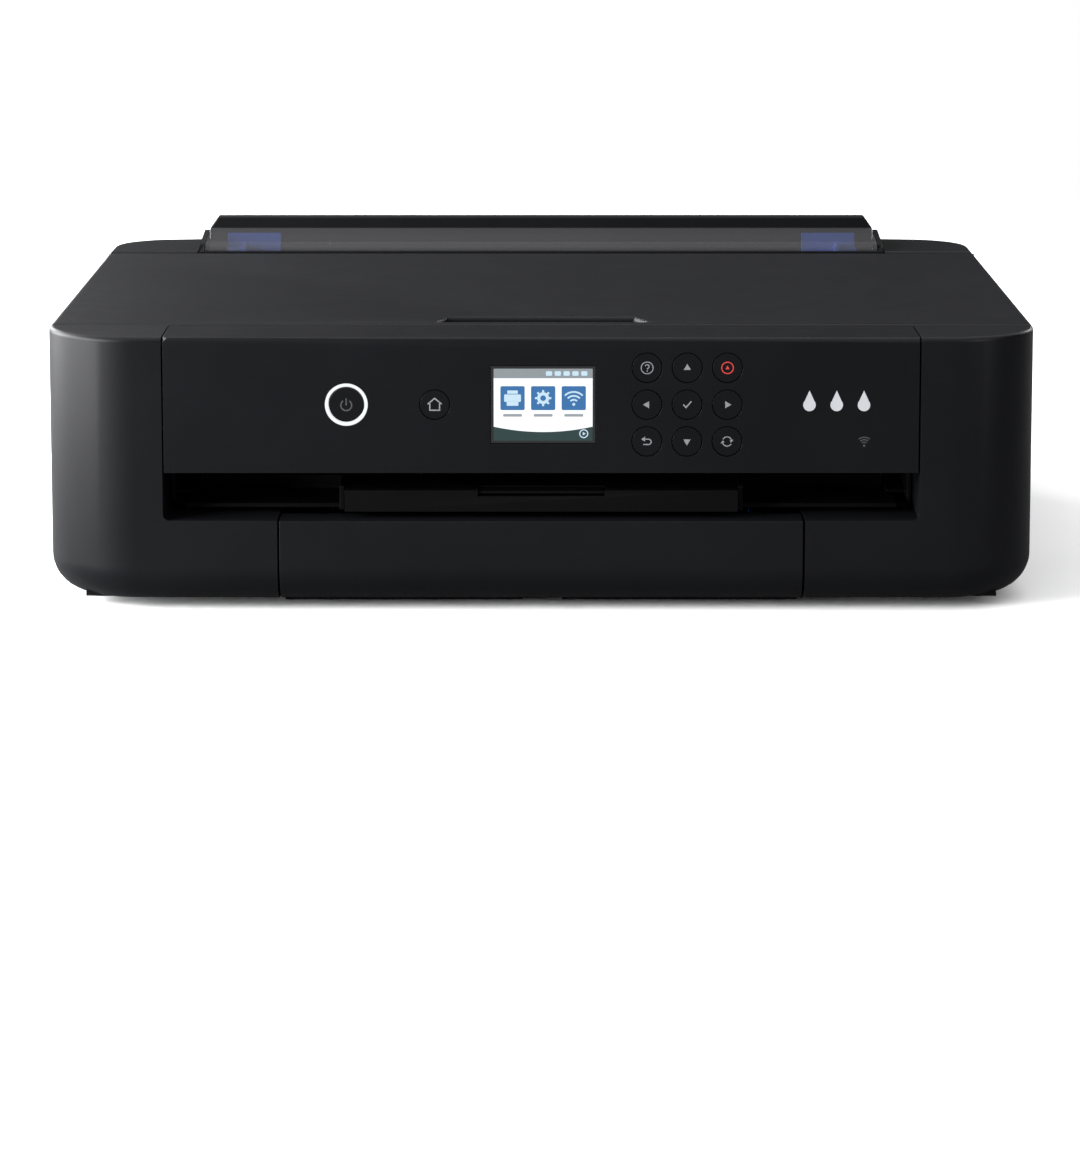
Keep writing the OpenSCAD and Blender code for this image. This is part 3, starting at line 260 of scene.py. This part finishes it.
FINISH = {
    "case_shell": moulded("satin_black_case", (0.0040, 0.0042, 0.0052), 0.42, 1300, 0.000016, 0.12, 0.12),
    "panel_shell": moulded("satin_black_panel", (0.0038, 0.0040, 0.0050), 0.40, 1300, 0.000012, 0.12, 0.11),
    "inner_plastic": moulded("matt_black_inner", (0.0024, 0.0025, 0.0029), 0.5, 700, 0.00003, 0.15, 0.10),
    # The guard's first colour is the painted haze of its lower part.
    "smoky_plastic": smoky("smoke_tinted_guard_painted_haze", (0.055, 0.055, 0.058), (0.007, 0.007, 0.008), 0.3, 0.42),
    "blue_plastic": moulded("blue_guide_plastic", (0.045, 0.115, 0.48), 0.38, 900, 0.00001),
    "key_plastic": moulded("matt_key_plastic", (0.0034, 0.0036, 0.0045), 0.42, 1100, 0.000012, 0.12, 0.10),
    "light_ring": glowing("white_light_ring", (0.86, 0.90, 0.95), 0.9, 0.25),
    "screen_glass": moulded("black_screen_glass", (0.010, 0.010, 0.012), 0.12, 400, 0.000002, 0.05),
    "sheet_steel": metal("zinc_plated_sheet", (0.56, 0.57, 0.58), 0.34, (1, 0.08, 0.5), 260),
    "bright_steel": metal("ground_steel_rod", (0.72, 0.73, 0.75), 0.16, (0.06, 1, 1), 500, 0.000004),
    "roller_coat": metal("ceramic_coated_roller", (0.30, 0.305, 0.31), 0.5, (1, 1, 1), 1600, 0.00005),
    "soft_rubber": moulded("black_soft_rubber", (0.022, 0.022, 0.023), 0.72, 500, 0.00005, 0.2, 0.3),
    "belt_rubber": moulded("drive_belt_rubber", (0.020, 0.017, 0.014), 0.62, 600, 0.00003, 0.2, 0.35),
    "brass_gear": metal("turned_brass", (0.70, 0.50, 0.20), 0.28, (1, 1, 1), 500),
    "white_gear": moulded("white_gear_plastic", (0.72, 0.72, 0.69), 0.38, 600, 0.00001, 0.05),
    "circuit_board": moulded("green_circuit_board", (0.012, 0.085, 0.034), 0.34, 300, 0.00004, 0.35, 0.5, 0.4),
    "ink_case": moulded("ink_cartridge_plastic", (0.024, 0.025, 0.028), 0.33, 900, 0.00001),
    "head_metal": metal("print_head_plate", (0.34, 0.35, 0.36), 0.3, (1, 1, 1), 300),
    "grey_plastic": moulded("pale_grey_plastic", (0.45, 0.46, 0.48), 0.45, 700, 0.00001, 0.06),
}
# The trays get a darker copy of the black plastic: painted shade for the shadow inside the output bay under the panel.
TRAY_PAINTED_SHADE = moulded("tray_black_painted_shade", (0.0012, 0.0012, 0.0014), 0.48, 900, 0.00001, 0.1, 0.08)
PRINT_GREY = moulded("pale_grey_print", (0.17, 0.175, 0.19), 0.45, 1500, 0.000004, 0.04)
PRINT_RED = moulded("red_print", (0.42, 0.030, 0.026), 0.45, 1500, 0.000004, 0.06)
SILVER_PRINT = moulded("silver_mark", (0.40, 0.41, 0.43), 0.3, 1500, 0.000003, 0.05)
DIM_PRINT = moulded("dim_grey_print", (0.045, 0.047, 0.052), 0.4, 1500, 0.000004, 0.05)


def floor_paper():
    """Pale paper to the eye; as a bounce card it gives back less light, so that low edges stay deep."""
    material = moulded("pale_floor_paper", (0.93, 0.93, 0.935), 0.85, 300, 0.00003, 0.012, 0.15)
    tree = material.node_tree
    shader = tree.nodes["Principled BSDF"]
    card = tree.nodes.new("ShaderNodeBsdfDiffuse")
    card.inputs["Color"].default_value = (0.18, 0.18, 0.185, 1)
    path = tree.nodes.new("ShaderNodeLightPath")
    mix = tree.nodes.new("ShaderNodeMixShader")
    tree.links.new(path.outputs["Is Camera Ray"], mix.inputs["Fac"])
    tree.links.new(card.outputs["BSDF"], mix.inputs[1])
    tree.links.new(shader.outputs["BSDF"], mix.inputs[2])
    tree.links.new(mix.outputs["Shader"], tree.nodes["Material Output"].inputs["Surface"])
    return material


# ---------------------------------------------------------------- mesh helpers

def add_piece(name, verts, faces, material, body, thickness):
    """A new piece from arrays of points in metres and faces, given a wall behind them, riding on a body."""
    mesh = bpy.data.meshes.new(name)
    mesh.from_pydata(np.asarray(verts, float).tolist(), [], [list(f) for f in faces])
    mesh.materials.append(material)
    piece = bpy.data.objects.new(name, mesh)
    bpy.context.scene.collection.objects.link(piece)
    wall = piece.modifiers.new("wall", "SOLIDIFY")
    wall.thickness = thickness
    wall.offset = -1.0
    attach(piece, body)


def dress(node, width, segments, crease, material):
    """The finish of a CAD part: its own surface merged and cleared of needless edges, with worn rounded edges.
    A part of width 0 keeps its edges. crease(edge) picks the long outer edges that are rounded more widely."""
    mesh = NODES[node].data.copy()
    mesh.name = node + "_finish"
    work = bmesh.new()
    work.from_mesh(mesh)
    bmesh.ops.remove_doubles(work, verts=work.verts, dist=2e-6)
    if width:
        bmesh.ops.dissolve_limit(work, angle_limit=math.radians(0.8), verts=work.verts, edges=work.edges)
    if crease:
        weight = work.edges.layers.float.new("bevel_weight_edge")
        for edge in work.edges:
            if len(edge.link_faces) == 2 and crease(edge):
                edge[weight] = 1.0
    work.to_mesh(mesh)
    work.free()
    mesh.shade_smooth()
    mesh.set_sharp_from_angle(angle=math.radians(SHARP))
    mesh.materials.clear()
    mesh.materials.append(material)
    piece = bpy.data.objects.new(node + "_finish", mesh)
    bpy.context.scene.collection.objects.link(piece)
    if crease:
        wide = piece.modifiers.new("crease", "BEVEL")
        wide.width = CREASE_WIDTH * MM
        wide.segments = 5
        wide.limit_method = "WEIGHT"
        wide.use_clamp_overlap = False
    if width:
        edge = piece.modifiers.new("edge", "BEVEL")
        edge.width = width * MM
        edge.segments = segments
        edge.limit_method = "ANGLE"
        edge.angle_limit = math.radians(SHARP)
        edge.harden_normals = True
        edge.use_clamp_overlap = True
    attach(piece, BODY_OF[node])
    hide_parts(node)
    return piece


# ---------------------------------------------------------------- flat printed shapes, drawn in x and z in millimetres

def circle(cx, cz, r, start=0.0, stop=360.0, count=49):
    """Points at a radius about a centre, from one angle to another."""
    a = np.radians(np.linspace(start, stop, count))
    return np.stack([cx + r * np.cos(a), cz + r * np.sin(a)], 1)


def disc(cx, cz, r):
    """A filled circle as one face."""
    p = circle(cx, cz, r, 0, 352.5, 48)
    return p, [list(range(len(p)))]


def ribbon(points, width, closed=False):
    """A line of even width: each point is moved half the width to both sides of the path's direction."""
    p = np.asarray(points, float)
    if closed:
        ahead, behind = np.roll(p, -1, 0), np.roll(p, 1, 0)
    else:
        ahead = np.vstack([p[1:], 2 * p[-1] - p[-2]])
        behind = np.vstack([2 * p[0] - p[1], p[:-1]])
    a, b = ahead - p, p - behind
    a /= np.linalg.norm(a, axis=1, keepdims=True)
    b /= np.linalg.norm(b, axis=1, keepdims=True)
    t = a + b
    t /= np.linalg.norm(t, axis=1, keepdims=True)
    side = np.stack([-t[:, 1], t[:, 0]], 1)
    reach = width / 2 / np.clip((t * a).sum(1, keepdims=True), 0.5, 1)
    n = len(p)
    verts = np.vstack([p + side * reach, p - side * reach])
    faces = [[k, k + n, (k + 1) % n + n, (k + 1) % n] for k in range(n if closed else n - 1)]
    return verts, faces


def loop(cx, cz, r, width):
    """A ring of a radius and a line width."""
    return ribbon(circle(cx, cz, r, 0, 352.5, 48), width, True)


def patch(points):
    """A filled outline as one face."""
    return np.asarray(points, float), [list(range(len(points)))]


def pill(cx, cz, w, h, r):
    """A rectangle with round corners as one face."""
    x, z = w / 2 - r, h / 2 - r
    p = np.vstack([circle(cx + x, cz + z, r, 0, 90, 9), circle(cx - x, cz + z, r, 90, 180, 9),
                   circle(cx - x, cz - z, r, 180, 270, 9), circle(cx + x, cz - z, r, 270, 360, 9)])
    return p, [list(range(len(p)))]


def drop(cx, cz, r):
    """An ink drop: a circle whose top is drawn up to a point."""
    p = np.vstack([circle(cx, cz, r, 140, 400, 40), [[cx, cz + 2.35 * r]]])
    return p, [list(range(len(p)))]


def printed(name, shapes, y, material, body):
    """Flat shapes joined into one thin print that faces the front, at a depth y in millimetres."""
    verts, faces, start = [], [], 0
    for points, around in shapes:
        verts.append(np.stack([points[:, 0], np.full(len(points), y), points[:, 1]], 1) * MM)
        for face in around:
            p = points[face]
            x, z = p[:, 0], p[:, 1]
            turn = (x * np.roll(z, -1) - z * np.roll(x, -1)).sum()
            face = face if turn > 0 else face[::-1]
            faces.append([start + k for k in face])
        start += len(points)
    add_piece(name, np.vstack(verts), faces, material, body, INK * MM)


# ---------------------------------------------------------------- the printer's parts

WIDE = {"left_side_cover": 0.45, "right_side_cover": 0.45, "control_panel": 0.4, "printer_cover": 0.45,
        "cassette_front": 0.45, "feeder_guard": 0.4, "support_upper": 0.8, "rear_cover": 0.4,
        "maintenance_box": 0.4, "ink_cartridges": 0.6, "feet": 0.8, "capping_station": 0.4}
TRAYS = {"output_tray", "tray_extension", "tray_stop"}
PLAIN = {"carriage_belt", "guide_pinion", "feed_pinion", "feed_roller", "main_board", "panel_board", "rear_panel"}


def top_rim(edge):
    """An edge of the flat top that stands over a tall outer wall."""
    high = min(v.co.z for v in edge.verts) > TOP_EDGE * MM
    return high and any(abs(f.normal.z) < 0.1 and min(v.co.z for v in f.verts) < (TOP_EDGE - 3.9) * MM and
                        abs(f.normal.x) + abs(min(f.normal.y, 0)) > 0.05 for f in edge.link_faces)


def panel_rim(edge):
    """The long edge between the panel's face and its top strip."""
    return all(v.co.z > TOP_EDGE * MM and v.co.y < -184.9 * MM for v in edge.verts)


CREASES = {"left_side_cover": top_rim, "right_side_cover": top_rim, "control_panel": panel_rim,
           "printer_cover": top_rim}


def colour_board(piece):
    """Tinned sockets at the back edge and black chips on the green board, by the height and place of each face."""
    mesh = piece.data
    mesh.materials.append(FINISH["sheet_steel"])
    mesh.materials.append(FINISH["soft_rubber"])
    centre = np.empty(3 * len(mesh.polygons))
    mesh.polygons.foreach_get("center", centre)
    centre = centre.reshape(-1, 3) / MM
    raised = centre[:, 2] > BOARD_TOP
    kind = np.where(raised & (centre[:, 1] > SOCKET_FRONT), 1, np.where(raised, 2, 0))
    mesh.polygons.foreach_set("material_index", kind.astype(np.int32))


def dress_all():
    """Every CAD part gets its finish; the edges' width follows the size of the part."""
    for node in NODES:
        width = 0 if node in PLAIN else WIDE.get(node, 0.25)
        # The trays take the darker copy of the black plastic, which carries painted shade.
        material = TRAY_PAINTED_SHADE if node in TRAYS else FINISH[SLOT_OF[node]]
        piece = dress(node, width, 3 if node in WIDE else 2, CREASES.get(node), material)
        if node == "main_board":
            colour_board(piece)


def panel_prints():
    """The signs on the keys and the marks at the panel's right."""
    centre = {}
    for key in KEYS:
        a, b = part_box(key)
        centre[key] = ((a[0] + b[0]) / 2 / MM, (a[2] + b[2]) / 2 / MM)

    def sign(key, shapes, material=PRINT_GREY):
        middle = np.array(centre[key])
        shapes = [(middle + (p - middle) * 0.86, around) for p, around in shapes]
        printed(key + "_sign", shapes, KEY_FACE, material, BODY_OF[key])

    x, z = centre["power_key"]
    sign("power_key", [ribbon(circle(x, z - 0.3, 3.0, 125, 415, 33), 0.75), ribbon([(x, z - 0.4), (x, z + 3.6)], 0.75)],
         DIM_PRINT)
    x, z = centre["home_key"]
    sign("home_key", [ribbon([(x - 3.9, z + 0.3), (x, z + 3.6), (x + 3.9, z + 0.3)], 0.75),
                      ribbon([(x - 2.7, z + 0.9), (x - 2.7, z - 3.1), (x + 2.7, z - 3.1), (x + 2.7, z + 0.9)], 0.7)])
    x, z = centre["help_key"]
    sign("help_key", [loop(x, z, 3.3, 0.5), ribbon(np.vstack([circle(x, z + 0.75, 1.05, 170, -60, 15),
                                                              [[x, z - 0.75]]]), 0.55), disc(x, z - 1.75, 0.38)])
    for key, turn in (("up_key", 90), ("left_key", 180), ("down_key", 270), ("right_key", 0)):
        x, z = centre[key]
        sign(key, [patch(circle(x, z, 2.3, turn, turn + 240, 3))])
    x, z = centre["stop_key"]
    sign("stop_key", [loop(x, z, 3.2, 0.6), patch(circle(x, z - 0.1, 1.35, 90, 330, 3))], PRINT_RED)
    x, z = centre["ok_key"]
    sign("ok_key", [ribbon([(x - 2.2, z + 0.1), (x - 0.6, z - 1.6), (x + 2.3, z + 1.9)], 0.75)])
    x, z = centre["back_key"]
    sign("back_key", [ribbon(np.vstack([[[x - 2.0, z - 1.7]], circle(x + 0.9, z - 0.2, 1.5, -90, 90, 13),
                                        [[x - 1.2, z + 1.3]]]), 0.6),
                      patch([(x - 1.0, z + 2.7), (x - 3.1, z + 1.3), (x - 1.0, z - 0.1)])])
    x, z = centre["repeat_key"]
    sign("repeat_key", [ribbon(circle(x, z, 2.6, 20, 150, 17), 0.6), ribbon(circle(x, z, 2.6, 200, 330, 17), 0.6),
                        patch([(x + 1.5, z + 0.6), (x + 3.7, z + 1.1), (x + 2.2, z - 0.7)]),
                        patch([(x - 1.5, z - 0.6), (x - 3.7, z - 1.1), (x - 2.2, z + 0.7)])])

    printed("ink_drop_mark", [drop(128, 101.6, 3.0), drop(141, 101.6, 3.0), drop(154, 101.6, 3.0)], PANEL_FACE,
            SILVER_PRINT, "panel")
    printed("wireless_mark", [disc(154.3, 81.9, 0.55)] + [ribbon(circle(154.3, 81.9, r, 50, 130, 13), 0.5)
            for r in (1.7, 2.9, 4.1)], PANEL_FACE, DIM_PRINT, "panel")


def screen_picture():
    """The lit picture on the screen: a status bar, three blue tiles with signs and a curved lower bar, in layers."""
    low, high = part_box("screen_module")
    cx, cz = (low[0] + high[0]) / 2 / MM, 101.7
    w, h = 47.2, 34.8
    left, top = cx - w / 2, cz + h / 2
    white = glowing("lit_white", (0.93, 0.96, 0.99), 0.9)
    bar = glowing("lit_status_bar", (0.30, 0.33, 0.35), 0.8)
    dark = glowing("lit_lower_bar", (0.035, 0.062, 0.062), 0.8)
    tile = glowing("lit_blue_tile", (0.050, 0.17, 0.40), 0.85)
    pale = glowing("lit_pale_blue", (0.60, 0.80, 0.93), 0.8)
    ink = glowing("lit_grey_caption", (0.34, 0.37, 0.40), 0.8)
    y = SCREEN_FACE
    printed("screen_picture_ground", [pill(cx, cz, w, h, 0.5)], y, white, "panel")
    printed("screen_picture_status", [pill(cx, top - 2.3, w, 4.6, 0.3)], y - LAYER, bar, "panel")
    printed("screen_picture_badges", [pill(left + w - 4 - 4.2 * k, top - 2.3, 3.0, 2.2, 0.6) for k in range(5)],
            y - 2 * LAYER, pale, "panel")
    low_edge = cz - h / 2
    swell = np.stack([np.linspace(left, left + w, 33),
                      low_edge + 4.2 + 2.6 * (np.linspace(-1, 1, 33) ** 2)], 1)
    printed("screen_picture_lower", [patch(np.vstack([[[left + w, low_edge], [left, low_edge]], swell]))], y - LAYER,
            dark, "panel")
    printed("screen_picture_next", [loop(left + w - 4.2, low_edge + 3.4, 1.9, 0.5),
                                    patch(circle(left + w - 4.2, low_edge + 3.4, 0.95, 0, 240, 3))],
            y - 2 * LAYER, pale, "panel")
    tiles = [cx - 14.6, cx, cx + 14.6]
    tz = cz + 3.2
    printed("screen_picture_tiles", [pill(t, tz, 11.6, 11.6, 0.8) for t in tiles], y - LAYER, tile, "panel")
    printed("screen_picture_captions", [pill(t, tz - 8.3, 9.0, 1.3, 0.4) for t in tiles], y - LAYER, ink, "panel")
    t = tiles[0]
    printer = [pill(t, tz, 8.0, 3.6, 0.5), pill(t, tz + 2.9, 5.0, 1.6, 0.2), pill(t, tz - 2.6, 5.6, 2.2, 0.2)]
    t = tiles[1]
    gear = [loop(t, tz, 2.1, 1.5)] + [patch(np.array([t, tz]) + np.array(
        [(2.6, -0.55), (3.9, -0.45), (3.9, 0.45), (2.6, 0.55)]) @ np.array(
            [[math.cos(a), math.sin(a)], [-math.sin(a), math.cos(a)]])) for a in np.radians(np.arange(8) * 45)]
    t = tiles[2]
    waves = [disc(t, tz - 3.0, 0.7)] + [ribbon(circle(t, tz - 3.0, r, 45, 135, 13), 0.8) for r in (2.2, 4.1, 6.0)]
    printed("screen_picture_tile_signs", printer + gear + waves, y - 2 * LAYER, pale, "panel")


def encoder_strip():
    """The printed position strip behind the carriage: a thin band along the width."""
    x = np.array([-208, 228, 228, -208]) * MM
    z = np.array([115.2, 115.2, 120.6, 120.6]) * MM
    verts = np.stack([x, np.full(4, 44.6 * MM), z], 1)
    add_piece("encoder_strip", verts, [(0, 1, 2, 3)], FINISH["smoky_plastic"], "root", 0.2 * MM)


set_camera()
set_light()
set_floor(floor_paper())
dress_all()
panel_prints()
screen_picture()
encoder_strip()
bpy.context.scene.view_settings.view_transform = "Standard"
